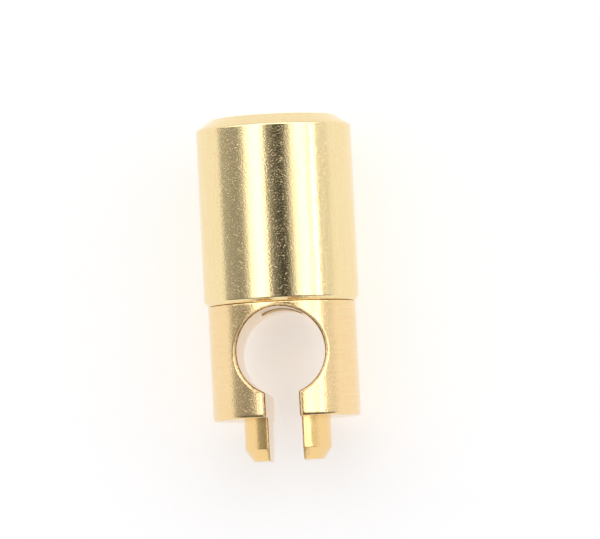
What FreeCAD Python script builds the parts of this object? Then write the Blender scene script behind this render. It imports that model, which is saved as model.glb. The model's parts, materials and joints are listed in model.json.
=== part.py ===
"""Turned brass electrode holder with a spring-loaded clamp pad under a screw cap.

The holder's axis is Y: the split spigot points to -Y and the screw cap to +Y. The electrode
bore runs along Z, and the slot that opens it is centred on X. The origin is the centre of the
seat, the shoulder face that the spigot stands out of. All sizes are in millimetres.
"""
import FreeCAD
import Part
import Sketcher
import math
import os

SIZES = {
    # screw cap, outside
    "cap_diameter": 12.0,
    "cap_length": 14.5,
    "crown_height": 0.82,
    "crown_width": 1.2,
    "rim_chamfer_height": 0.27,
    "rim_chamfer_width": 0.45,
    "rim_gap": 0.04,
    # screw cap, inside
    "cap_bore_diameter": 8.04,
    "cap_bore_depth": 10.63,
    "drill_point_depth": 2.42,
    "cap_relief_diameter": 9.3,
    "cap_relief_height": 1.0,
    "seal_pocket_diameter": 10.5,
    "seal_pocket_depth": 0.64,
    "seal_diameter": 9.78,
    "seal_section": 0.62,
    # holder body
    "body_diameter": 11.4,
    "body_length": 8.83,
    "body_chamfer": 0.2,
    "shoulder_chamfer": 0.06,
    "bore_diameter": 6.8,
    "bore_centre": 5.05,
    "slot_width": 2.6,
    "edge_round": 0.2,
    # split spigot
    "spigot_diameter": 6.7,
    "spigot_length": 3.25,
    "tip_height": 0.9,
    "tip_width": 0.65,
    # threaded neck and the spring chamber inside it
    "neck_diameter": 8.92,
    "neck_length": 9.37,
    "neck_chamfer": 0.5,
    "neck_relief_diameter": 7.8,
    "neck_relief_height": 1.37,
    "guide_diameter": 3.2,
    "chamber_diameter": 5.0,
    "chamber_length": 3.7,
    "tap_diameter": 5.24,
    "tap_relief_diameter": 6.1,
    "tap_relief_height": 0.7,
    # cap thread: pitch, root of the neck's groove, root of the cap's groove
    "cap_pitch": 1.0,
    "neck_root_diameter": 7.9,
    "cap_root_diameter": 9.06,
    # adjusting screw and its thread
    "screw_pitch": 0.75,
    "screw_diameter": 5.94,
    "screw_root_diameter": 5.1,
    "tap_root_diameter": 6.06,
    "screw_length": 2.4,
    "screw_chamfer": 0.3,
    "driver_slot_width": 0.8,
    "driver_slot_depth": 0.9,
    # clamp plunger, pad and key
    "head_diameter": 4.6,
    "head_height": 0.8,
    "stem_diameter": 3.1,
    "pad_joint": 8.95,
    "nose_diameter": 1.6,
    "nose_length": 0.35,
    "pad_proud": 0.03,
    "saddle_diameter": 6.2,
    "plunger_travel": 0.4,
    "key_diameter": 0.6,
    "key_height": 9.8,
    "key_tip": 1.15,
    "key_end": 3.8,
    "key_clearance": 0.05,
    "keyway_floor": 1.05,
    # insulators and spring
    "insulator_diameter": 4.5,
    "insulator_height": 0.6,
    "boss_diameter": 3.0,
    "boss_height": 0.7,
    "spring_diameter": 3.9,
    "wire_diameter": 0.5,
    "spring_length": 3.31,
    "spring_coils": 4,
    "spring_gap": 0.02,
}

# The flanks of both threads slope by 30 degrees, and a groove's floor is a flat.
FLANK_SLOPE = math.tan(math.radians(30))
NECK_GROOVE_FLOOR = 0.12
CAP_GROOVE_FLOOR = 0.33
SCREW_GROOVE_FLOOR = 0.08
TAP_GROOVE_FLOOR = 0.22
OVERCUT = 0.1

# Heights along Y, as expressions of the sheet's sizes
SHOULDER = "Sizes.body_length"
CAP_RIM = "(Sizes.body_length + Sizes.rim_gap)"
CAP_TOP = "(Sizes.body_length + Sizes.cap_length)"
CAP_CEILING = "(Sizes.body_length + Sizes.cap_bore_depth)"
SEAL_CEILING = "(Sizes.body_length + Sizes.rim_gap + Sizes.seal_pocket_depth)"
CHAMBER_FLOOR = "(Sizes.body_length + Sizes.neck_relief_height)"
CHAMBER_TOP = "(Sizes.body_length + Sizes.neck_relief_height + Sizes.chamber_length)"
NECK_TOP = "(Sizes.body_length + Sizes.neck_length)"
HEAD_TOP = f"({CHAMBER_FLOOR} + Sizes.head_height)"
SPRING_FLOOR = f"({HEAD_TOP} + Sizes.insulator_height)"
SPRING_CEILING = f"({SPRING_FLOOR} + Sizes.spring_length + 2 * Sizes.spring_gap)"
SCREW_FLOOR = f"({SPRING_CEILING} + Sizes.insulator_height)"
SCREW_TOP = f"({SCREW_FLOOR} + Sizes.screw_length)"

doc = FreeCAD.newDocument("electrode_holder")
sheet = doc.addObject("Spreadsheet::Sheet", "Sizes")
for row, (alias, size) in enumerate(SIZES.items(), start=1):
    sheet.set(f"A{row}", alias)
    sheet.set(f"B{row}", str(size))
    sheet.setAlias(f"B{row}", alias)
doc.recompute()


def value(expression):
    """The number that an expression of the sheet's sizes stands for."""
    return float(doc.Sizes.evalExpression(expression.replace("Sizes.", "")))


def radius(alias):
    return f"Sizes.{alias} / 2"


def new_body(label):
    body = doc.addObject("PartDesign::Body", label)
    body.Label = label
    return body


def new_sketch(body, name, plane="XY_Plane"):
    """An empty sketch on one of the body's own origin planes."""
    sketch = body.newObject("Sketcher::SketchObject", f"{body.Name}_{name}")
    planes = [feature for feature in body.Origin.OriginFeatures if feature.Role == plane]
    sketch.AttachmentSupport = (planes[0], [""])
    sketch.MapMode = "FlatFace"
    return sketch


def bind_point(sketch, geometry, vertex, name, x, y):
    """Place one vertex of a sketch by two named distances from the origin."""
    for kind, axis, expression in (("DistanceX", "x", x), ("DistanceY", "y", y)):
        ends = (-1, 1, geometry, vertex)
        index = sketch.addConstraint(Sketcher.Constraint(kind, *ends, value(expression)))
        sketch.renameConstraint(index, f"{name}_{axis}")
        sketch.setExpression(f"Constraints.{name}_{axis}", expression)


def outline(body, name, points):
    """A closed outline of straight lines through points given as pairs of expressions."""
    sketch = new_sketch(body, name)
    corners = [FreeCAD.Vector(value(x), value(y), 0) for x, y in points]
    count = len(corners)
    for index in range(count):
        sketch.addGeometry(Part.LineSegment(corners[index], corners[(index + 1) % count]))
    for index in range(count):
        sketch.addConstraint(Sketcher.Constraint("Coincident", index, 2, (index + 1) % count, 1))
    for index, (x, y) in enumerate(points):
        bind_point(sketch, index, 1, f"p{index}", x, y)
    return sketch


def circle(body, name, x, y, circle_radius, plane="XY_Plane"):
    """A circle whose centre and radius are expressions."""
    sketch = new_sketch(body, name, plane)
    centre = FreeCAD.Vector(value(x), value(y), 0)
    sketch.addGeometry(Part.Circle(centre, FreeCAD.Vector(0, 0, 1), value(circle_radius)))
    bind_point(sketch, 0, 3, "centre", x, y)
    index = sketch.addConstraint(Sketcher.Constraint("Radius", 0, value(circle_radius)))
    sketch.renameConstraint(index, "radius")
    sketch.setExpression("Constraints.radius", circle_radius)
    return sketch


def revolve(body, sketch):
    """Turn an outline round the holder's axis, which is the sketch's vertical axis."""
    feature = body.newObject("PartDesign::Revolution", f"{body.Name}_Turned")
    feature.Profile = sketch
    feature.ReferenceAxis = (sketch, ["V_Axis"])
    feature.Angle = 360
    doc.recompute()
    return feature


def cut_through(body, name, sketch):
    """Cut a sketch right through the body, both ways, and make sure that it cut."""
    before = body.Shape.Volume
    feature = body.newObject("PartDesign::Pocket", f"{body.Name}_{name}")
    feature.Profile = sketch
    feature.Type = "ThroughAll"
    feature.Midplane = True
    doc.recompute()
    if body.Shape.Volume >= before:
        raise RuntimeError(f"{feature.Name} cut nothing")
    return feature


def thread_groove(body, name, floor_radius, mouth_radius, floor_width, start, length, pitch):
    """Cut a right-hand thread groove: a flat floor, and flanks that open towards the mouth."""
    half_floor = floor_width / 2
    opening = abs(value(f"{mouth_radius} - ({floor_radius})")) * FLANK_SLOPE
    half_mouth = half_floor + opening
    points = [
        (floor_radius, f"{start} - {half_floor:.4f}"),
        (mouth_radius, f"{start} - {half_mouth:.4f}"),
        (mouth_radius, f"{start} + {half_mouth:.4f}"),
        (floor_radius, f"{start} + {half_floor:.4f}"),
    ]
    sketch = outline(body, f"{name}_Section", points)
    before = body.Shape.Volume
    feature = body.newObject("PartDesign::SubtractiveHelix", f"{body.Name}_{name}")
    feature.Profile = sketch
    feature.ReferenceAxis = (sketch, ["V_Axis"])
    feature.Mode = "pitch-height-angle"
    feature.setExpression("Pitch", pitch)
    feature.setExpression("Height", length)
    doc.recompute()
    if body.Shape.Volume >= before:
        raise RuntimeError(f"{feature.Name} cut nothing")
    return feature


def round_edges(body, name, test):
    """Round the edges of a body whose ends and middle all pass a test."""
    base, names = body.Tip, []
    for index, edge in enumerate(base.Shape.Edges, start=1):
        first, last = edge.FirstParameter, edge.LastParameter
        if all(test(edge.valueAt(at)) for at in (first, (first + last) / 2, last)):
            names.append(f"Edge{index}")
    feature = body.newObject("PartDesign::Fillet", f"{body.Name}_{name}")
    feature.Base = (base, names)
    feature.setExpression("Radius", "Sizes.edge_round")
    doc.recompute()
    return feature


def holder_body():
    """One turned piece: split spigot, cross-bored body and threaded neck with its chamber."""
    body = new_body("holder_body")
    spigot, tip = radius("spigot_diameter"), f"{radius('spigot_diameter')} - Sizes.tip_width"
    outer, neck = radius("body_diameter"), radius("neck_diameter")
    relief = radius("neck_relief_diameter")
    guide, chamber = radius("guide_diameter"), radius("chamber_diameter")
    tap, tap_relief = radius("tap_diameter"), radius("tap_relief_diameter")
    section = outline(body, "Section", [
        ("0", "-Sizes.spigot_length"),
        (tip, "-Sizes.spigot_length"),
        (spigot, "Sizes.tip_height - Sizes.spigot_length"),
        (spigot, "0"),
        (f"{outer} - Sizes.body_chamfer", "0"),
        (outer, "Sizes.body_chamfer"),
        (outer, f"{SHOULDER} - Sizes.shoulder_chamfer"),
        (f"{outer} - Sizes.shoulder_chamfer", SHOULDER),
        (relief, SHOULDER),
        (relief, CHAMBER_FLOOR),
        (neck, f"{CHAMBER_FLOOR} + {neck} - {relief}"),
        (neck, f"{NECK_TOP} - Sizes.neck_chamfer"),
        (f"{neck} - Sizes.neck_chamfer", NECK_TOP),
        (tap, NECK_TOP),
        (tap, f"{CHAMBER_TOP} + Sizes.tap_relief_height"),
        (tap_relief, f"{CHAMBER_TOP} + Sizes.tap_relief_height"),
        (tap_relief, CHAMBER_TOP),
        (chamber, CHAMBER_TOP),
        (chamber, CHAMBER_FLOOR),
        (guide, CHAMBER_FLOOR),
        (guide, "Sizes.bore_centre"),
        ("0", "Sizes.bore_centre"),
    ])
    revolve(body, section)
    bore = circle(body, "Bore_Section", "0", "Sizes.bore_centre", radius("bore_diameter"))
    cut_through(body, "Bore", bore)
    half_slot = radius("slot_width")
    slot = outline(body, "Slot_Section", [
        (f"-{half_slot}", f"-Sizes.spigot_length - {OVERCUT}"),
        (half_slot, f"-Sizes.spigot_length - {OVERCUT}"),
        (half_slot, "Sizes.bore_centre"),
        (f"-{half_slot}", "Sizes.bore_centre"),
    ])
    cut_through(body, "Slot", slot)
    round_keyhole_edges(body)
    key_hole = circle(body, "Key_Section", "Sizes.key_height", "0",
                      radius("key_diameter"), plane="YZ_Plane")
    drill = body.newObject("PartDesign::Pocket", "holder_body_Key_Hole")
    drill.Profile = key_hole
    drill.Type = "Length"
    drill.setExpression("Length", "Sizes.body_diameter / 2")
    drill.Reversed = True
    doc.recompute()
    thread_groove(body, "Cap_Thread", radius("neck_root_diameter"), f"{neck} + {OVERCUT}",
                  NECK_GROOVE_FLOOR, f"{SHOULDER} + Sizes.cap_pitch / 2",
                  "Sizes.neck_length + Sizes.cap_pitch / 2", "Sizes.cap_pitch")
    thread_groove(body, "Screw_Thread", radius("tap_root_diameter"), f"{tap} - {OVERCUT}",
                  TAP_GROOVE_FLOOR, f"{CHAMBER_TOP} + Sizes.tap_relief_height / 2",
                  f"{NECK_TOP} - {CHAMBER_TOP} + Sizes.screw_pitch / 2", "Sizes.screw_pitch")
    return body


def round_keyhole_edges(body):
    """Break the sharp outer edges of the cross bore and the slot with a small round."""
    bore_centre, bore_radius = value("Sizes.bore_centre"), value(radius("bore_diameter"))
    half_slot, outer = value(radius("slot_width")), value(radius("body_diameter"))
    near = 0.01

    def on_bore(point):
        return abs(math.hypot(point.x, point.y - bore_centre) - bore_radius) < near

    def on_slot(point):
        return abs(abs(point.x) - half_slot) < near and point.y < bore_centre

    def on_outside(point):
        return abs(math.hypot(point.x, point.z) - outer) < near

    def to_round(point):
        return on_outside(point) and (on_bore(point) or on_slot(point))

    round_edges(body, "Keyhole_Round", to_round)


def screw_cap():
    """The closed cap: chamfered crown and rim outside, blind threaded bore inside."""
    body = new_body("screw_cap")
    outer, bore = radius("cap_diameter"), radius("cap_bore_diameter")
    pocket, relief = radius("seal_pocket_diameter"), radius("cap_relief_diameter")
    section = outline(body, "Section", [
        ("0", CAP_TOP),
        (f"{outer} - Sizes.crown_width", CAP_TOP),
        (outer, f"{CAP_TOP} - Sizes.crown_height"),
        (outer, f"{CAP_RIM} + Sizes.rim_chamfer_height"),
        (f"{outer} - Sizes.rim_chamfer_width", CAP_RIM),
        (pocket, CAP_RIM),
        (pocket, SEAL_CEILING),
        (bore, SEAL_CEILING),
        (bore, f"{CAP_CEILING} - Sizes.cap_relief_height"),
        (relief, f"{CAP_CEILING} - Sizes.cap_relief_height"),
        (relief, CAP_CEILING),
        (bore, CAP_CEILING),
        ("0", f"{CAP_CEILING} + Sizes.drill_point_depth"),
    ])
    revolve(body, section)
    crown, side = value(f"{outer} - Sizes.crown_width"), value(outer)
    top, near = value(CAP_TOP), 0.01
    crown_foot = top - value("Sizes.crown_height")

    def crown_edge(point):
        on_top = abs(point.y - top) < near and abs(math.hypot(point.x, point.z) - crown) < near
        on_side = abs(point.y - crown_foot) < near
        return on_top or (on_side and abs(math.hypot(point.x, point.z) - side) < near)

    round_edges(body, "Crown_Round", crown_edge)
    thread_groove(body, "Thread", radius("cap_root_diameter"), f"{bore} - {OVERCUT}",
                  CAP_GROOVE_FLOOR, SHOULDER, "Sizes.cap_bore_depth - Sizes.cap_pitch / 2",
                  "Sizes.cap_pitch")
    return body


def cap_seal_ring():
    """The round-section ring in the cap's pocket that closes the joint with the body."""
    body = new_body("cap_seal_ring")
    height = f"{CAP_RIM} + Sizes.seal_section / 2"
    section = circle(body, "Section", radius("seal_diameter"), height, radius("seal_section"))
    revolve(body, section)
    return body


def adjusting_screw():
    """The headless screw that loads the spring, with a driver slot across its top."""
    body = new_body("adjusting_screw")
    outer = radius("screw_diameter")
    section = outline(body, "Section", [
        ("0", SCREW_FLOOR),
        (f"{outer} - Sizes.screw_chamfer", SCREW_FLOOR),
        (outer, f"{SCREW_FLOOR} + Sizes.screw_chamfer"),
        (outer, f"{SCREW_TOP} - Sizes.screw_chamfer"),
        (f"{outer} - Sizes.screw_chamfer", SCREW_TOP),
        ("0", SCREW_TOP),
    ])
    revolve(body, section)
    half_slot = radius("driver_slot_width")
    slot = outline(body, "Slot_Section", [
        (f"-{half_slot}", f"{SCREW_TOP} - Sizes.driver_slot_depth"),
        (half_slot, f"{SCREW_TOP} - Sizes.driver_slot_depth"),
        (half_slot, f"{SCREW_TOP} + {OVERCUT}"),
        (f"-{half_slot}", f"{SCREW_TOP} + {OVERCUT}"),
    ])
    cut_through(body, "Driver_Slot", slot)
    # The screw's crests fill the middles of the body's groove, half a pitch from its own grooves.
    start = f"{CHAMBER_TOP} + Sizes.tap_relief_height / 2 + Sizes.screw_pitch / 2"
    thread_groove(body, "Thread", radius("screw_root_diameter"), f"{outer} + {OVERCUT}",
                  SCREW_GROOVE_FLOOR, start,
                  f"{NECK_TOP} - {CHAMBER_TOP} + Sizes.screw_pitch", "Sizes.screw_pitch")
    return body


def insulator(label, face, direction):
    """A flanged washer whose boss centres one end of the spring."""
    body = new_body(label)
    disc, boss = radius("insulator_diameter"), radius("boss_diameter")
    step = f"{face} {direction} Sizes.insulator_height"
    end = f"{step} {direction} Sizes.boss_height"
    section = outline(body, "Section", [
        ("0", face), (disc, face), (disc, step), (boss, step), (boss, end), ("0", end),
    ])
    revolve(body, section)
    return body


def clamp_spring():
    """A round-wire compression spring between the two insulators."""
    body = new_body("clamp_spring")
    wire = radius("wire_diameter")
    bottom = f"{SPRING_FLOOR} + Sizes.spring_gap + {wire}"
    section = circle(body, "Wire", radius("spring_diameter"), bottom, wire)
    coil = body.newObject("PartDesign::AdditiveHelix", "clamp_spring_Coil")
    coil.Profile = section
    coil.ReferenceAxis = (section, ["V_Axis"])
    coil.Mode = "height-turns-angle"
    coil.setExpression("Height", "Sizes.spring_length - Sizes.wire_diameter")
    coil.setExpression("Turns", "Sizes.spring_coils")
    doc.recompute()
    return body


def clamp_plunger():
    """Head, stem and nose, with a flat-bottomed keyway along the stem."""
    body = new_body("clamp_plunger")
    head, stem, nose = radius("head_diameter"), radius("stem_diameter"), radius("nose_diameter")
    section = outline(body, "Section", [
        ("0", "Sizes.pad_joint - Sizes.nose_length"),
        (nose, "Sizes.pad_joint - Sizes.nose_length"),
        (nose, "Sizes.pad_joint"),
        (stem, "Sizes.pad_joint"),
        (stem, CHAMBER_FLOOR),
        (head, CHAMBER_FLOOR),
        (head, HEAD_TOP),
        ("0", HEAD_TOP),
    ])
    revolve(body, section)
    half_key = f"({radius('key_diameter')} + Sizes.key_clearance)"
    keyway = outline(body, "Keyway_Section", [
        ("Sizes.keyway_floor", f"Sizes.key_height - {half_key} - Sizes.plunger_travel"),
        (radius("guide_diameter"), f"Sizes.key_height - {half_key} - Sizes.plunger_travel"),
        (radius("guide_diameter"), f"Sizes.key_height + {half_key}"),
        ("Sizes.keyway_floor", f"Sizes.key_height + {half_key}"),
    ])
    cutter = body.newObject("PartDesign::Pocket", "clamp_plunger_Keyway")
    cutter.Profile = keyway
    cutter.Type = "Length"
    cutter.setExpression("Length", f"2 * {half_key}")
    cutter.Midplane = True
    doc.recompute()
    return body


def clamp_pad():
    """The pad on the plunger's nose. Its saddle is tighter than the bore, so its two edges grip."""
    body = new_body("clamp_pad")
    stem, nose = radius("stem_diameter"), radius("nose_diameter")
    saddle_top = f"Sizes.bore_centre + {radius('bore_diameter')} - Sizes.pad_proud"
    section = outline(body, "Section", [
        ("0", "Sizes.bore_centre"),
        (stem, "Sizes.bore_centre"),
        (stem, "Sizes.pad_joint"),
        (nose, "Sizes.pad_joint"),
        (nose, "Sizes.pad_joint - Sizes.nose_length"),
        ("0", "Sizes.pad_joint - Sizes.nose_length"),
    ])
    revolve(body, section)
    saddle = circle(body, "Saddle_Section", "0", f"{saddle_top} - {radius('saddle_diameter')}",
                    radius("saddle_diameter"))
    cut_through(body, "Saddle", saddle)
    return body


def plunger_key():
    """The dowel across the guide hole's wall that keeps the saddle in line with the bore."""
    key = doc.addObject("Part::Cylinder", "plunger_key")
    key.Label = "plunger_key"
    key.setExpression("Radius", radius("key_diameter"))
    key.setExpression("Height", "Sizes.key_end - Sizes.key_tip")
    along_x = FreeCAD.Rotation(FreeCAD.Vector(0, 1, 0), 90)
    key.Placement = FreeCAD.Placement(FreeCAD.Vector(0, 0, 0), along_x)
    key.setExpression("Placement.Base.x", "Sizes.key_tip")
    key.setExpression("Placement.Base.y", "Sizes.key_height")
    return key


pieces = [
    holder_body(),
    screw_cap(),
    cap_seal_ring(),
    adjusting_screw(),
    insulator("upper_insulator", SCREW_FLOOR, "-"),
    clamp_spring(),
    insulator("lower_insulator", HEAD_TOP, "+"),
    clamp_plunger(),
    clamp_pad(),
    plunger_key(),
]
doc.recompute()

for item in doc.Objects:
    if "Invalid" in item.State or "Error" in item.State:
        raise RuntimeError(f"{item.Name} failed: {item.State}")

os.makedirs("parts", exist_ok=True)
for piece in pieces:
    shape = piece.Shape
    if shape.isNull() or not shape.isValid() or len(shape.Solids) != 1:
        raise RuntimeError(f"{piece.Label} is not one valid solid")
    shape.exportStep(os.path.join("parts", f"{piece.Label}.step"))
    box = shape.BoundBox
    print(f"{piece.Label}: {shape.Volume:.2f} mm3, y {box.YMin:.2f} to {box.YMax:.2f}")
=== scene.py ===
"""A turned brass electrode holder lying on white paper, seen from straight above.

The two outer pieces are built here as finely divided turned surfaces, with true rounds on their
edges and true helical threads. The pieces inside keep their CAD meshes and get materials, and
the spring is a copy of its CAD mesh. Everything is in metres, in the CAD frame:
+Y runs along the holder towards the cap, and the electrode bore runs along Z.
"""
import json
import math
from collections import namedtuple

import bmesh
import bpy
from mathutils import Matrix, Vector


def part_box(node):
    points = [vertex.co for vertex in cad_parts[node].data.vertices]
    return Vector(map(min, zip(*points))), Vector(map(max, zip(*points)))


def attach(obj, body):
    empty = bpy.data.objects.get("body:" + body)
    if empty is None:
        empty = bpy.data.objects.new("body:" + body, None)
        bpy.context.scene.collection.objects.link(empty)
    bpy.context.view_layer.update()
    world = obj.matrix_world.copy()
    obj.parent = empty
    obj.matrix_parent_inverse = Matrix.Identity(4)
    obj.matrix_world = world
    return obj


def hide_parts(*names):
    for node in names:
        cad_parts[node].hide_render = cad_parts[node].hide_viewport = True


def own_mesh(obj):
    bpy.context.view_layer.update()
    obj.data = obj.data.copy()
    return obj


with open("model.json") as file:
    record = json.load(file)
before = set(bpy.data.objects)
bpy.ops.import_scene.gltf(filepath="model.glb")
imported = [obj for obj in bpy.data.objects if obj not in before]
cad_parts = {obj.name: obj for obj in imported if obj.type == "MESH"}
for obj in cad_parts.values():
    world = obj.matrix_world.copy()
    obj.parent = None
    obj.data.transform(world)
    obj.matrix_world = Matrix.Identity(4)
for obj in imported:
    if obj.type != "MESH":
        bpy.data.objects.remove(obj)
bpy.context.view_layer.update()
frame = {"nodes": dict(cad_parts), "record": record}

MM = 0.001

# ------------------------------------------------------------ sizes, from the frame if it has them

mounts = {mount["name"]: mount for mount in frame["record"]["mounts"]}
body_low, body_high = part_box("holder_body")
cap_low, cap_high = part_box("screw_cap")
pad_low, pad_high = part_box("clamp_pad")

BODY_RADIUS = body_high.x
NECK_TOP = body_high.y
SPIGOT_TIP = body_low.y
SPIGOT_RADIUS = mounts["spigot"]["dims"]["r_mm"] * MM
BORE_RADIUS = mounts["electrode_bore"]["dims"]["r_mm"] * MM
BORE_CENTRE = mounts["electrode_bore"]["pos_m"][1]
CAP_RADIUS = cap_high.x
CAP_TOP = cap_high.y
CAP_RIM = cap_low.y
GUIDE_CLEARANCE = 0.05 * MM
GUIDE_RADIUS = pad_high.x + GUIDE_CLEARANCE

SHOULDER = 8.83 * MM
HALF_SLOT = 1.3 * MM
EDGE_ROUND = 0.2 * MM
SPIGOT_ROUND = 0.1 * MM
CORNER_HEIGHT = 0.3 * MM
CORNER_WIDTH = 0.12 * MM
TIP_HEIGHT = 0.9 * MM
TIP_WIDTH = 0.65 * MM
CROWN_HEIGHT = 0.82 * MM
CROWN_WIDTH = 1.2 * MM
CROWN_ROUND = 0.2 * MM
CROWN_TOP_ROUND = 1.5 * CROWN_ROUND
RIM_HEIGHT = 0.27 * MM
RIM_WIDTH = 0.34 * MM
RIM_BEVEL = 0.08 * MM
RIM_BEVEL_WIDTH = 0.35 * RIM_BEVEL
FINE_ROUND = 0.05 * MM
THREAD_MIDDLE = 9.83 * MM
CHAMBER_FLOOR = 10.2 * MM
SHARP_ANGLE = math.radians(28)

# Divisions: columns in a quarter turn, steps across a small round, and rows of faces up the bore,
# its corner with the slot and the slot, across the seat and across a prong's tip
QUARTER = 40
ROUND_STEPS = 6
BORE_ROWS = 48
CORNER_ROWS = 4
SLOT_ROWS = 8
SEAT_ROWS = 8
TIP_ROWS = 6
MERGE = 0.0001 * MM

# ---------------------------------------------------------------- mesh building


def add_grid(mesh, rows, closed=False):
    """Quads between rows of points that all have the same length."""
    vertices = [[mesh.verts.new(point) for point in row] for row in rows]
    for near, far in zip(vertices, vertices[1:]):
        count = len(near)
        for index in range(count if closed else count - 1):
            after = (index + 1) % count
            mesh.faces.new((near[index], near[after], far[after], far[index]))


def ring(radius, y):
    """A full circle of points about the holder's axis, starting at the top and turning to +X."""
    steps = 4 * QUARTER
    turns = [2 * math.pi * index / steps for index in range(steps)]
    return [Vector((radius * math.sin(turn), y, radius * math.cos(turn))) for turn in turns]


def lathe(mesh, profile):
    """The surface that a profile of (radius, y) points sweeps about the holder's axis."""
    add_grid(mesh, [ring(radius, y) for radius, y in profile], closed=True)


def rounded(profile, rounds):
    """A profile with arcs at its corners. rounds gives one radius for each point, 0 for sharp."""
    path = []
    for index, (point, radius) in enumerate(zip(profile, rounds)):
        here = Vector(point)
        if radius == 0:
            path.append(point)
            continue
        back = (Vector(profile[index - 1]) - here).normalized()
        ahead = (Vector(profile[index + 1]) - here).normalized()
        half = back.angle(ahead) / 2
        centre = here + (back + ahead).normalized() * radius / math.sin(half)
        start = here + back * radius / math.tan(half) - centre
        end = here + ahead * radius / math.tan(half) - centre
        sweep = start.angle_signed(end)
        for step in range(ROUND_STEPS + 1):
            turn = Matrix.Rotation(-sweep * step / ROUND_STEPS, 2)
            path.append(tuple(centre + turn @ start))
    return path


# A right-hand thread: its radii between and on the ridges, the height of one ridge's centre on +X,
# half the ridge's width at both radii, and the pitch. A groove has a crest wider than its base.
Thread = namedtuple("Thread", "base crest middle half_crest half_base pitch")


def thread_radius(form, angle, y):
    """The radius of a thread's surface at an angle from the top and a height."""
    turn = (y - form.middle) / form.pitch - angle / (2 * math.pi) + 0.25
    away = abs(turn - round(turn)) * form.pitch
    share = (form.half_base - away) / (form.half_base - form.half_crest)
    return form.base + (form.crest - form.base) * min(max(share, 0), 1)


def add_thread(mesh, form, low, high, first, last):
    """A thread cut off square at two heights, where its end faces reach circles of given radii."""
    steps = 4 * QUARTER
    angles = [2 * math.pi * index / steps for index in range(steps + 1)]
    rows = [[(first, low)] * (steps + 1)]
    for turn in range(-1, math.ceil((high - low) / form.pitch) + 1):
        for offset in (-form.half_base, -form.half_crest, form.half_crest, form.half_base):
            heights = [form.middle + (turn + angle / (2 * math.pi) - 0.25) * form.pitch + offset
                       for angle in angles]
            heights = [min(max(y, low), high) for y in heights]
            rows.append([(thread_radius(form, angle, y), y) for angle, y in zip(angles, heights)])
    rows.append([(last, high)] * (steps + 1))
    add_grid(mesh, [[Vector((radius * math.sin(angle), y, radius * math.cos(angle)))
                     for angle, (radius, y) in zip(angles, row)] for row in rows])


def finished(mesh, name):
    """Close a mesh's seams, face it outwards and make an object with crisp and smooth edges."""
    bmesh.ops.remove_doubles(mesh, verts=mesh.verts, dist=MERGE)
    bmesh.ops.dissolve_degenerate(mesh, edges=mesh.edges, dist=MERGE)
    bmesh.ops.recalc_face_normals(mesh, faces=mesh.faces)
    data = bpy.data.meshes.new(name)
    mesh.to_mesh(data)
    mesh.free()
    data.shade_smooth()
    data.set_sharp_from_angle(angle=SHARP_ANGLE)
    piece = bpy.data.objects.new(name, data)
    bpy.context.scene.collection.objects.link(piece)
    return piece


def weigh_normals(piece):
    """Let the large faces set the shading, so that flats stay flat beside their rounds."""
    weighted = piece.modifiers.new("weighted_normals", "WEIGHTED_NORMAL")
    weighted.keep_sharp = True


# ---------------------------------------------------------------- the holder body

# One station of the body's right half: the outer radius there, the radius of the edge round, the
# centre of that round across and along the holder, the direction from it to the opening's wall,
# and the height where the station's line reaches the side of the body.
Station = namedtuple("Station", "radius round x y wall_x wall_y side_y")


def depth(station):
    """How far in front of the axis the centre of a station's edge round lies."""
    return math.sqrt(max((station.radius - station.round) ** 2 - station.x ** 2, 0))


def outer_row(station):
    """The outer surface's points from the front edge round the side to the back edge."""
    edge = math.asin(min(station.x / (station.radius - station.round), 1))
    points = []
    for column in range(2 * QUARTER + 1):
        share = min(column, 2 * QUARTER - column) / QUARTER
        angle = edge + (math.pi / 2 - edge) * share
        y = station.y + (station.side_y - station.y) * share
        z = math.copysign(station.radius * math.cos(angle), QUARTER - column)
        points.append(Vector((station.radius * math.sin(angle), y, z)))
    return points


def round_row(station, side):
    """The edge round's points from the outer surface to the wall, in front (1) or behind (-1)."""
    reach = side * depth(station)
    centre = Vector((station.x, station.y, reach))
    if station.round == 0:
        return [centre] * (ROUND_STEPS + 1)
    outward = Vector((station.x, 0, reach)).normalized()
    inward = Vector((station.wall_x, station.wall_y, 0))
    steps = [outward.slerp(inward, step / ROUND_STEPS) for step in range(ROUND_STEPS + 1)]
    return [centre + station.round * direction for direction in steps]


def wall_row(station, shares):
    """The wall's points from front to back, at given shares of the round's depth."""
    x = station.x + station.round * station.wall_x
    y = station.y + station.round * station.wall_y
    return [Vector((x, y, share * depth(station))) for share in shares]


def slot_station(radius, edge_round, y):
    """A station beside the slot, where the wall is the slot's flat side."""
    return Station(radius, edge_round, HALF_SLOT + edge_round, y, -1, 0, y)


def keyhole_stations():
    """Stations up the slot, round its corner with the bore and up the bore to its top."""
    reach = BORE_RADIUS + EDGE_ROUND
    corner_x = HALF_SLOT + EDGE_ROUND
    corner_y = BORE_CENTRE - math.sqrt(reach ** 2 - corner_x ** 2)
    corner_turn = math.atan2(corner_y - BORE_CENTRE, corner_x)
    top = BORE_CENTRE + reach
    stations = []
    for row in range(SLOT_ROWS + 1):
        y = CORNER_HEIGHT + (corner_y - CORNER_HEIGHT) * row / SLOT_ROWS
        stations.append(slot_station(BODY_RADIUS, EDGE_ROUND, y))
    for row in range(1, CORNER_ROWS):
        turn = math.pi + corner_turn * row / CORNER_ROWS
        stations.append(Station(BODY_RADIUS, EDGE_ROUND, corner_x, corner_y,
                                math.cos(turn), math.sin(turn), corner_y))
    for row in range(BORE_ROWS + 1):
        share = row / BORE_ROWS
        turn = corner_turn + (math.pi / 2 - corner_turn) * share
        across, along = math.cos(turn), math.sin(turn)
        side_y = corner_y + (top - corner_y) * share
        stations.append(Station(BODY_RADIUS, EDGE_ROUND, reach * max(across, 0),
                                BORE_CENTRE + reach * along, -across, -along, side_y))
    return stations


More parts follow.
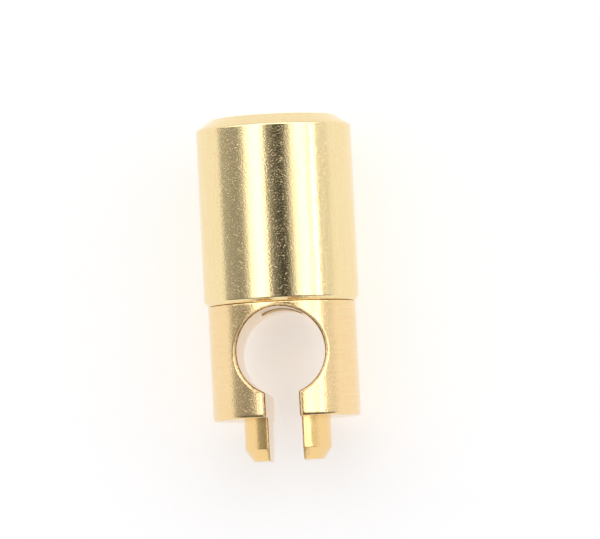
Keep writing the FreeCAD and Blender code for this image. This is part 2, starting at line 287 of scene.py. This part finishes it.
def seat_stations():
    """Stations across the seat, from the body's rounded corner in to the spigot's foot."""
    inner, outer = SPIGOT_RADIUS, BODY_RADIUS - CORNER_WIDTH
    stations = []
    for row in range(SEAT_ROWS + 1):
        share = row / SEAT_ROWS
        edge_round = EDGE_ROUND + (SPIGOT_ROUND - EDGE_ROUND) * share
        stations.append(slot_station(outer + (inner - outer) * share, edge_round, 0))
    return stations


def corner_stations():
    """Stations down the long, elliptical round between the body's side and the seat."""
    stations = []
    for step in range(1, ROUND_STEPS):
        turn = math.pi / 2 * step / ROUND_STEPS
        radius = BODY_RADIUS - CORNER_WIDTH * (1 - math.cos(turn))
        stations.append(slot_station(radius, EDGE_ROUND, CORNER_HEIGHT * (1 - math.sin(turn))))
    return stations


def spigot_stations():
    """Stations down the spigot and its chamfered tip, as far as the tip's face."""
    chamfer_top = SPIGOT_TIP + TIP_HEIGHT
    tip_radius = SPIGOT_RADIUS - TIP_WIDTH
    profile = [(SPIGOT_RADIUS, 0), (SPIGOT_RADIUS, chamfer_top), (tip_radius, SPIGOT_TIP),
               (tip_radius - 2 * FINE_ROUND, SPIGOT_TIP)]
    path = rounded(profile, (0, 2 * FINE_ROUND, FINE_ROUND, 0))
    return [slot_station(radius, SPIGOT_ROUND, y) for radius, y in path]


def tip_stations(first):
    """Stations across one prong's flat tip, shrinking to a point on the slot's side."""
    stations = []
    for row in range(TIP_ROWS + 1):
        share = row / TIP_ROWS
        radius = first.radius + (HALF_SLOT - first.radius) * share
        stations.append(slot_station(radius, first.round * (1 - share), first.y))
    return stations


def mirrored_shares(values):
    """Shares from front to back: the values, zero and the values again, negated."""
    return list(values) + [0.0] + [-value for value in reversed(values)]


def half_body(mesh):
    """The right half of the spigot and of the body up to the top of the bore."""
    keyhole, corner, seat, spigot = (keyhole_stations(), corner_stations(), seat_stations(),
                                     spigot_stations())
    tip = tip_stations(spigot[-1])
    down = keyhole[::-1] + corner + seat + spigot[1:] + tip[1:]
    add_grid(mesh, [outer_row(station) for station in down])
    for side in (1, -1):
        add_grid(mesh, [round_row(station, side) for station in down])
    tip_shares = [depth(station) / depth(tip[0]) for station in tip[:-1]]
    spigot_share = depth(seat[-1]) / depth(seat[0])
    seat_shares = [depth(station) / depth(seat[0]) for station in seat[:-1]]
    body_shares = mirrored_shares(seat_shares + [spigot_share * share for share in tip_shares])
    body_wall = keyhole[::-1] + corner + seat[:1]
    add_grid(mesh, [wall_row(station, body_shares) for station in body_wall])
    add_grid(mesh, [wall_row(station, mirrored_shares(tip_shares)) for station in spigot])


def mirror_half(mesh):
    """Add the left half of what is in the mesh."""
    copy = bmesh.ops.duplicate(mesh, geom=mesh.verts[:] + mesh.edges[:] + mesh.faces[:])
    vertices = [part for part in copy["geom"] if isinstance(part, bmesh.types.BMVert)]
    bmesh.ops.scale(mesh, vec=(-1, 1, 1), verts=vertices)


NECK_THREAD = Thread(3.95 * MM, 4.46 * MM, THREAD_MIDDLE, 0.143 * MM, 0.44 * MM, 1.0 * MM)
CAP_THREAD = Thread(4.02 * MM, 4.53 * MM, THREAD_MIDDLE, 0.165 * MM, 0.46 * MM, 1.0 * MM)


def neck_profiles():
    """The profiles of the body above the bore: below the thread, and above it and inside."""
    relief, chamber, tap, chamfer = 3.9 * MM, 2.5 * MM, 3.05 * MM, 0.3 * MM
    chamber_top, thread_top = 13.9 * MM, NECK_TOP - chamfer
    bore_top = BORE_CENTRE + BORE_RADIUS + EDGE_ROUND
    below = rounded([(BODY_RADIUS, bore_top), (BODY_RADIUS, SHOULDER), (relief, SHOULDER),
                     (relief, CHAMBER_FLOOR)], (0, FINE_ROUND, 0, 0))
    above = [(NECK_THREAD.base, thread_top), (NECK_THREAD.base - 0.1 * MM, NECK_TOP),
             (tap, NECK_TOP), (tap, chamber_top), (chamber, chamber_top),
             (chamber, CHAMBER_FLOOR), (0, CHAMBER_FLOOR)]
    return below, above


def drill_guide(piece):
    """Cut the plunger's guide hole from the chamber's floor to the bore's ceiling."""
    mesh = bmesh.new()
    below, above = 1.0 * MM, 0.1 * MM
    low, high = BORE_CENTRE + BORE_RADIUS - below, CHAMBER_FLOOR + above
    lathe(mesh, [(0, low), (GUIDE_RADIUS, low), (GUIDE_RADIUS, high), (0, high)])
    drill = finished(mesh, "guide_drill")
    cut = piece.modifiers.new("guide_hole", "BOOLEAN")
    cut.operation, cut.solver, cut.object = "DIFFERENCE", "EXACT", drill
    bpy.context.view_layer.update()
    evaluated = piece.evaluated_get(bpy.context.evaluated_depsgraph_get())
    data = bpy.data.meshes.new_from_object(evaluated)
    piece.modifiers.remove(cut)
    piece.data = data
    bpy.data.objects.remove(drill)


def build_body():
    """The whole lower piece: spigot, slotted and bored body, threaded hollow neck."""
    mesh = bmesh.new()
    half_body(mesh)
    mirror_half(mesh)
    below, above = neck_profiles()
    lathe(mesh, below)
    add_thread(mesh, NECK_THREAD, below[-1][1], above[0][1], below[-1][0], above[0][0])
    lathe(mesh, above)
    piece = finished(mesh, "holder_body_turned")
    drill_guide(piece)
    weigh_normals(piece)
    return piece


# ---------------------------------------------------------------- the cap


def build_cap():
    """The chamfered cap: the seal's pocket, the thread, a relief and a drill's cone inside."""
    pocket, relief = 5.25 * MM, 4.65 * MM
    pocket_top, ceiling, cone_top = 9.51 * MM, 19.46 * MM, 21.88 * MM
    thread_top = ceiling - CAP_THREAD.pitch
    outside = [
        (0, CAP_TOP), (CAP_RADIUS - CROWN_WIDTH, CAP_TOP), (CAP_RADIUS, CAP_TOP - CROWN_HEIGHT),
        (CAP_RADIUS, CAP_RIM + RIM_HEIGHT + RIM_BEVEL),
        (CAP_RADIUS - RIM_BEVEL_WIDTH, CAP_RIM + RIM_HEIGHT),
        (CAP_RADIUS - RIM_WIDTH, CAP_RIM), (pocket, CAP_RIM), (pocket, pocket_top),
    ]
    rounds = (0, CROWN_TOP_ROUND, CROWN_ROUND, 0, 0, FINE_ROUND, 0, 0)
    inside = [(relief, thread_top), (relief, ceiling), (CAP_THREAD.base, ceiling), (0, cone_top)]
    mesh = bmesh.new()
    lathe(mesh, rounded(outside, rounds))
    add_thread(mesh, CAP_THREAD, pocket_top, thread_top, pocket, relief)
    lathe(mesh, inside)
    piece = finished(mesh, "screw_cap_turned")
    weigh_normals(piece)
    return piece


# ---------------------------------------------------------------- the spring


def build_spring():
    """The CAD's coil once more, as a piece of its own."""
    node = frame["nodes"]["clamp_spring"]
    bpy.context.view_layer.update()
    piece = bpy.data.objects.new("clamp_spring_coil", node.data.copy())
    piece.matrix_world = node.matrix_world
    bpy.context.scene.collection.objects.link(piece)
    return piece


# ---------------------------------------------------------------- materials


class Tree:
    """Short calls that add the nodes used here to a node tree."""

    def __init__(self, tree):
        self.tree = tree

    def link(self, source, target):
        self.tree.links.new(source, target)

    def put(self, value, socket):
        if isinstance(value, bpy.types.NodeSocket):
            self.link(value, socket)
        else:
            socket.default_value = value

    def split(self, vector):
        node = self.tree.nodes.new("ShaderNodeSeparateXYZ")
        self.link(vector, node.inputs[0])
        return node.outputs

    def combine(self, x, y, z):
        node = self.tree.nodes.new("ShaderNodeCombineXYZ")
        for value, socket in zip((x, y, z), node.inputs):
            self.put(value, socket)
        return node.outputs[0]

    def scale(self, vector, factor):
        node = self.tree.nodes.new("ShaderNodeVectorMath")
        node.operation = "SCALE"
        self.link(vector, node.inputs[0])
        node.inputs["Scale"].default_value = factor
        return node.outputs["Vector"]

    def math(self, operation, *values):
        node = self.tree.nodes.new("ShaderNodeMath")
        node.operation = operation
        for value, socket in zip(values, node.inputs):
            self.put(value, socket)
        return node.outputs[0]

    def ramp(self, value, low, high, start=0.0, end=1.0):
        """A value mapped from one range to another, smoothly and without leaving it."""
        node = self.tree.nodes.new("ShaderNodeMapRange")
        node.interpolation_type = "SMOOTHSTEP"
        self.put(value, node.inputs["Value"])
        limits = {"From Min": low, "From Max": high, "To Min": start, "To Max": end}
        for name, number in limits.items():
            self.put(number, node.inputs[name])
        return node.outputs["Result"]

    def mix(self, share, first, second):
        node = self.tree.nodes.new("ShaderNodeMix")
        node.data_type = "RGBA"
        self.put(share, node.inputs["Factor"])
        self.put((*first, 1) if isinstance(first, tuple) else first, node.inputs[6])
        self.put((*second, 1) if isinstance(second, tuple) else second, node.inputs[7])
        return node.outputs[2]


class Surface(Tree):
    """A material's node tree, with its place on the holder in millimetres."""

    def __init__(self, name):
        self.material = bpy.data.materials.new(name)
        self.material.use_nodes = True
        super().__init__(self.material.node_tree)
        self.shader = self.tree.nodes["Principled BSDF"]
        coordinates = self.tree.nodes.new("ShaderNodeTexCoord")
        self.place = self.scale(coordinates.outputs["Object"], 1 / MM)
        self.x, self.y, self.z = self.split(self.place)

    def around(self):
        """Millimetres round the holder, millimetres along it, and the distance from its axis."""
        radius = self.math("SQRT", self.math("ADD", self.math("MULTIPLY", self.x, self.x),
                                             self.math("MULTIPLY", self.z, self.z)))
        angle = self.math("ARCTAN2", self.x, self.z)
        return self.math("MULTIPLY", angle, CAP_RADIUS / MM), self.y, radius

    def noise(self, place, scale, detail=2.0, roughness=0.5):
        node = self.tree.nodes.new("ShaderNodeTexNoise")
        self.link(place, node.inputs["Vector"])
        node.inputs["Scale"].default_value = scale
        node.inputs["Detail"].default_value = detail
        node.inputs["Roughness"].default_value = roughness
        return node.outputs["Fac"]

    def bump(self, height, distance, normal=None):
        node = self.tree.nodes.new("ShaderNodeBump")
        node.inputs["Strength"].default_value = 1.0
        node.inputs["Distance"].default_value = distance
        self.link(height, node.inputs["Height"])
        if normal is not None:
            self.link(normal, node.inputs["Normal"])
        return node.outputs["Normal"]

    def shade(self, color, roughness, metallic, normal):
        """Connect the shader, and give the finished material."""
        self.shader.inputs["Metallic"].default_value = metallic
        self.link(color, self.shader.inputs["Base Color"])
        self.link(roughness, self.shader.inputs["Roughness"])
        self.link(normal, self.shader.inputs["Normal"])
        return self.material


BRASS = (0.95, 0.77, 0.43)
BRASS_WORN = (0.88, 0.68, 0.34)
BODY_BRASS = (0.95, 0.71, 0.385)
BODY_BRASS_WORN = (0.88, 0.63, 0.31)
# The spigot's colour is the body's brass darkened with painted shade.
SPIGOT_BRASS_PAINTED_SHADE = (0.92, 0.64, 0.28)
BURR_AND_PAINTED_SHADE_BROWN = (0.2, 0.11, 0.04)
FLECK = (0.66, 0.46, 0.19)


def scratches(nodes, turn, least):
    """Sparse thin lines on the upper and lower sides, at an angle in degrees to the axis."""
    across, along = math.cos(math.radians(turn)), math.sin(math.radians(turn))
    long_way = nodes.math("ADD", nodes.math("MULTIPLY", nodes.x, along),
                          nodes.math("MULTIPLY", nodes.y, across))
    short_way = nodes.math("SUBTRACT", nodes.math("MULTIPLY", nodes.x, across),
                           nodes.math("MULTIPLY", nodes.y, along))
    place = nodes.combine(nodes.math("MULTIPLY", short_way, 9.0), long_way,
                          nodes.math("MULTIPLY", nodes.z, 0.2))
    return nodes.ramp(nodes.noise(place, 1.0, 1.0), least, least + 0.04)


def sparkle(nodes, amount):
    """The normal of a surface with tiny random facets and pits, and a few scratches."""
    grain = nodes.noise(nodes.place, 7.0, 2.0, 0.7)
    pits = nodes.ramp(nodes.noise(nodes.place, 8.0, 1.0), 0.66, 0.78)
    normal = nodes.bump(grain, amount * MM)
    normal = nodes.bump(pits, -0.003 * MM, normal=normal)
    for turn in (35, -50):
        normal = nodes.bump(scratches(nodes, turn, 0.74), -0.004 * MM, normal=normal)
    return normal


def flecked(nodes, color):
    """A colour with fine darker flecks, as metal has where its surface is finely pitted."""
    flecks = nodes.ramp(nodes.noise(nodes.place, 9.0, 2.0, 0.7), 0.52, 0.68, 0.0, 0.35)
    return nodes.mix(flecks, color, FLECK)


def drawn_brass():
    """The cap's bar stock, polished lengthwise: faint streaks along the axis, a fine sparkle."""
    nodes = Surface("drawn_brass")
    round_way, along, radius = nodes.around()
    streak_place = nodes.combine(round_way, nodes.math("MULTIPLY", along, 0.04), radius)
    streaks = nodes.noise(streak_place, 5.0, 4.0, 0.6)
    color = nodes.mix(nodes.ramp(streaks, 0.35, 0.75, 0.0, 0.6), BRASS, BRASS_WORN)
    roughness = nodes.ramp(nodes.noise(nodes.place, 4.0, 3.0, 0.6), 0.3, 0.7, 0.07, 0.11)
    normal = nodes.bump(streaks, 0.002 * MM, normal=sparkle(nodes, 0.010))
    return nodes.shade(flecked(nodes, color), roughness, 1.0, normal)


def opening_distance(nodes):
    """Millimetres out from the bore or slot, as if the spigot's edges had the body's round."""
    rise = nodes.math("SUBTRACT", nodes.y, BORE_CENTRE / MM)
    reach = nodes.math("SQRT", nodes.math("ADD", nodes.math("MULTIPLY", nodes.x, nodes.x),
                                          nodes.math("MULTIPLY", rise, rise)))
    from_bore = nodes.math("SUBTRACT", reach, BORE_RADIUS / MM)
    above = nodes.math("MULTIPLY", nodes.math("MAXIMUM", rise, 0.0), 10.0)
    from_slot = nodes.math("ADD", nodes.math("ABSOLUTE", nodes.x), above)
    from_slot = nodes.math("SUBTRACT", from_slot, HALF_SLOT / MM)
    widen = nodes.ramp(nodes.y, -0.02, 0.02, EDGE_ROUND / SPIGOT_ROUND, 1.0)
    return nodes.math("MULTIPLY", nodes.math("MINIMUM", from_bore, from_slot), widen)


def turned_brass():
    """The body's lathe-turned surface: faint tool rings, a fine sparkle, a dark line at the hole
    edges that is partly burr and partly painted shade, and painted shade on the spigot.
    """
    nodes = Surface("turned_brass")
    round_way, along, radius = nodes.around()
    ring_place = nodes.combine(nodes.math("MULTIPLY", round_way, 0.05), along, radius)
    rings = nodes.noise(ring_place, 6.0, 3.0, 0.6)
    color = nodes.mix(nodes.ramp(rings, 0.35, 0.75, 0.0, 0.5), BODY_BRASS, BODY_BRASS_WORN)
    # Painted shade: below the seat the spigot is painted a darker, more orange brass, standing in
    # for the shade and dark reflections under the body's shoulder.
    color = nodes.mix(nodes.ramp(nodes.y, 0.0, 0.1, 1.0, 0.0), color, SPIGOT_BRASS_PAINTED_SHADE)
    grit = nodes.noise(nodes.place, 8.0, 2.0, 0.7)
    distance = nodes.math("ADD", opening_distance(nodes), nodes.ramp(grit, 0.3, 0.7, -0.03, 0.03))
    edge = nodes.math("MULTIPLY", nodes.ramp(distance, 0.03, 0.06),
                      nodes.ramp(distance, 0.19, 0.23, 1.0, 0.0))
    # A dark brown line just beside the bore's and slot's edge rounds: partly a burr, partly
    # painted shade standing in for the dark reflection of the rounded edges.
    burr_and_painted_shade = nodes.math("MULTIPLY", nodes.ramp(distance, 0.035, 0.05),
                      nodes.ramp(distance, 0.08, 0.11, 0.9, 0.0))
    color = nodes.mix(burr_and_painted_shade, flecked(nodes, color), BURR_AND_PAINTED_SHADE_BROWN)
    smooth = nodes.ramp(nodes.noise(nodes.place, 4.0, 3.0, 0.6), 0.3, 0.7, 0.08, 0.12)
    roughness = nodes.math("ADD", smooth, nodes.math("MULTIPLY", edge, 0.2))
    normal = nodes.bump(rings, 0.0025 * MM, normal=sparkle(nodes, 0.013))
    normal = nodes.bump(nodes.math("MULTIPLY", grit, edge), 0.1 * MM, normal=normal)
    return nodes.shade(color, roughness, 1.0, normal)


def plain(name, color, low, high, metallic, scale, darkest, relief):
    """A small inner piece's finish: one colour with fine grain, its roughness from low to high."""
    nodes = Surface(name)
    grain = nodes.noise(nodes.place, scale, 3.0, 0.6)
    darker = tuple(part * darkest for part in color)
    mixed = nodes.mix(nodes.ramp(grain, 0.35, 0.65), color, darker)
    roughness = nodes.ramp(grain, 0.3, 0.7, low, high)
    return nodes.shade(mixed, roughness, metallic, nodes.bump(grain, relief))


def plain_metal(name, color, low, high):
    """Steel or brass."""
    return plain(name, color, low, high, 1.0, 12.0, 0.8, 0.003 * MM)


def plain_matte(name, color, low, high):
    """Rubber or ceramic."""
    return plain(name, color, low, high, 0.0, 8.0, 0.85, 0.005 * MM)


def dress(piece, material):
    """Give a piece one material in place of what it had."""
    piece.data.materials.clear()
    piece.data.materials.append(material)


# ---------------------------------------------------------------- floor, light and camera

FLOOR = -CAP_RADIUS
FLOOR_SIZE = 6.0
PAPER = (0.93, 0.93, 0.935)
PAPER_GLOW = 0.5
WALL = (0.93, 0.93, 0.94)
FILL = (0.42, 0.42, 0.43)
PANELS_IN_FILL = 0.25
# How steeply a reflection leans along the holder where the panels at its ends take over
END_START, END_FULL = 0.12, 0.22


def build_floor():
    """White paper under the holder, with a little light of its own."""
    mesh = bmesh.new()
    bmesh.ops.create_grid(mesh, x_segments=1, y_segments=1, size=FLOOR_SIZE / 2)
    data = bpy.data.meshes.new("paper_floor")
    mesh.to_mesh(data)
    mesh.free()
    floor = bpy.data.objects.new("paper_floor", data)
    floor.location = (0, 0, FLOOR)
    bpy.context.scene.collection.objects.link(floor)
    material = bpy.data.materials.new("white_paper")
    material.use_nodes = True
    shader = material.node_tree.nodes["Principled BSDF"]
    shader.inputs["Base Color"].default_value = (*PAPER, 1)
    shader.inputs["Roughness"].default_value = 0.9
    shader.inputs["Specular IOR Level"].default_value = 0.0
    shader.inputs["Emission Color"].default_value = (*PAPER, 1)
    shader.inputs["Emission Strength"].default_value = PAPER_GLOW
    dress(floor, material)


def panel(tree, angle, start, full, fade, end, level):
    """A soft-edged panel of light between two angles in degrees, brightest from full to fade."""
    rise = tree.ramp(angle, start, full)
    fall = tree.ramp(angle, fade, end, 1.0, 0.0)
    return tree.math("MULTIPLY", tree.math("MULTIPLY", rise, fall), level)


def total(tree, values):
    """The sum of several values."""
    result = values[0]
    for value in values[1:]:
        result = tree.math("ADD", result, value)
    return result


def side_lights(tree, angle):
    """What the holder reflects across its axis, by the angle from straight up towards +X."""
    return total(tree, [
        tree.ramp(angle, -85, -62, 0.46, 0.33),
        tree.ramp(angle, -14, 8, 0.0, -0.27),
        panel(tree, angle, -95, -94, -87.2, -86.4, 0.55),
        panel(tree, angle, -53, -28, -18, -9, 1.9),
        panel(tree, angle, 13, 42, 46, 64, 2.15),
        panel(tree, angle, 59.8, 60.2, 62.6, 63.0, 6.0),
        tree.ramp(angle, 56, 66, 0.0, 0.8),
    ])


def cap_end_lights(tree, angle):
    """What faces the cap's end, by the angle from straight up towards +Y."""
    return total(tree, [tree.ramp(angle, 60, 80, 0.0, 0.9),
                        panel(tree, angle, 5, 14, 52, 62, 2.4)])


def spigot_end_lights(tree, angle):
    """What faces the spigot's end, by the angle from straight up towards -Y."""
    return tree.ramp(angle, 66, 94, 0.17, 1.0)


def build_world():
    """Soft panels for reflections, a more even fill, and a pale wall for the camera."""
    world = bpy.data.worlds.new("studio_room")
    world.use_nodes = True
    bpy.context.scene.world = world
    tree = Tree(world.node_tree)
    x, y, z = tree.split(tree.tree.nodes.new("ShaderNodeTexCoord").outputs["Generated"])
    degrees = 180 / math.pi
    across = tree.math("MULTIPLY", tree.math("ARCTAN2", x, z), degrees)
    along = tree.math("MULTIPLY", tree.math("ARCTAN2", y, z), degrees)
    back = tree.math("MULTIPLY", along, -1.0)
    sides, cap_end = side_lights(tree, across), cap_end_lights(tree, along)
    level = tree.mix(tree.ramp(y, END_START, END_FULL), sides, cap_end)
    level = tree.mix(tree.ramp(y, -END_START, -END_FULL), level, spigot_end_lights(tree, back))
    path = tree.tree.nodes.new("ShaderNodeLightPath")
    even = tree.mix(PANELS_IN_FILL, FILL, level)
    fill = tree.mix(path.outputs["Is Glossy Ray"], even, level)
    wall = tree.mix(path.outputs["Is Camera Ray"], fill, WALL)
    tree.link(wall, tree.tree.nodes["Background"].inputs["Color"])


def build_camera():
    """Almost straight above, leaning a little to +X and to the spigot's side, and rolled."""
    distance, width, sensor = 0.6, 46.4 * MM, 36
    aim = Vector((1.54 * MM, 11.466 * MM, 0))
    lean_right, lean_down, roll = math.radians(3.3), math.radians(3.0), math.radians(2.8)
    toward = Vector((math.tan(lean_right), -math.tan(lean_down), 1)).normalized()
    up = Vector((math.sin(roll), math.cos(roll), 0))
    right = up.cross(toward).normalized()
    up = toward.cross(right)
    data = bpy.data.cameras.new("photo_camera")
    data.sensor_width = sensor
    data.lens = sensor * distance / width
    data.clip_start, data.clip_end = 0.01, 20
    camera = bpy.data.objects.new("photo_camera", data)
    axes = Matrix((right, up, toward)).transposed().to_4x4()
    camera.matrix_world = Matrix.Translation(aim + toward * distance) @ axes
    bpy.context.scene.collection.objects.link(camera)
    bpy.context.scene.camera = camera


# ---------------------------------------------------------------- put it together

bpy.context.scene.view_settings.view_transform = "Standard"
build_camera()
build_floor()
build_world()

body = build_body()
dress(body, turned_brass())
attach(body, "holder")
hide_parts("holder_body")

cap = build_cap()
dress(cap, drawn_brass())
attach(cap, "cap")
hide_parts("screw_cap")

finishes = {
    "cap_seal_ring": plain_matte("seal_rubber", (0.025, 0.025, 0.026), 0.5, 0.7),
    "adjusting_screw": plain_metal("screw_steel", (0.5, 0.5, 0.52), 0.2, 0.35),
    "upper_insulator": plain_matte("insulator_white", (0.8, 0.78, 0.73), 0.5, 0.65),
    "lower_insulator": plain_matte("insulator_white_lower", (0.8, 0.78, 0.73), 0.5, 0.65),
    "clamp_spring": plain_metal("spring_steel", (0.42, 0.43, 0.45), 0.25, 0.4),
    "clamp_plunger": plain_metal("plunger_steel", (0.56, 0.56, 0.58), 0.15, 0.3),
    "clamp_pad": plain_metal("pad_brass", BRASS, 0.5, 0.65),
    "plunger_key": plain_metal("key_steel", (0.5, 0.5, 0.5), 0.2, 0.3),
}
for node, material in finishes.items():
    dress(frame["nodes"][node], material)

spring = build_spring()
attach(spring, "spring_seat")
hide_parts("clamp_spring")
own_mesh(spring)
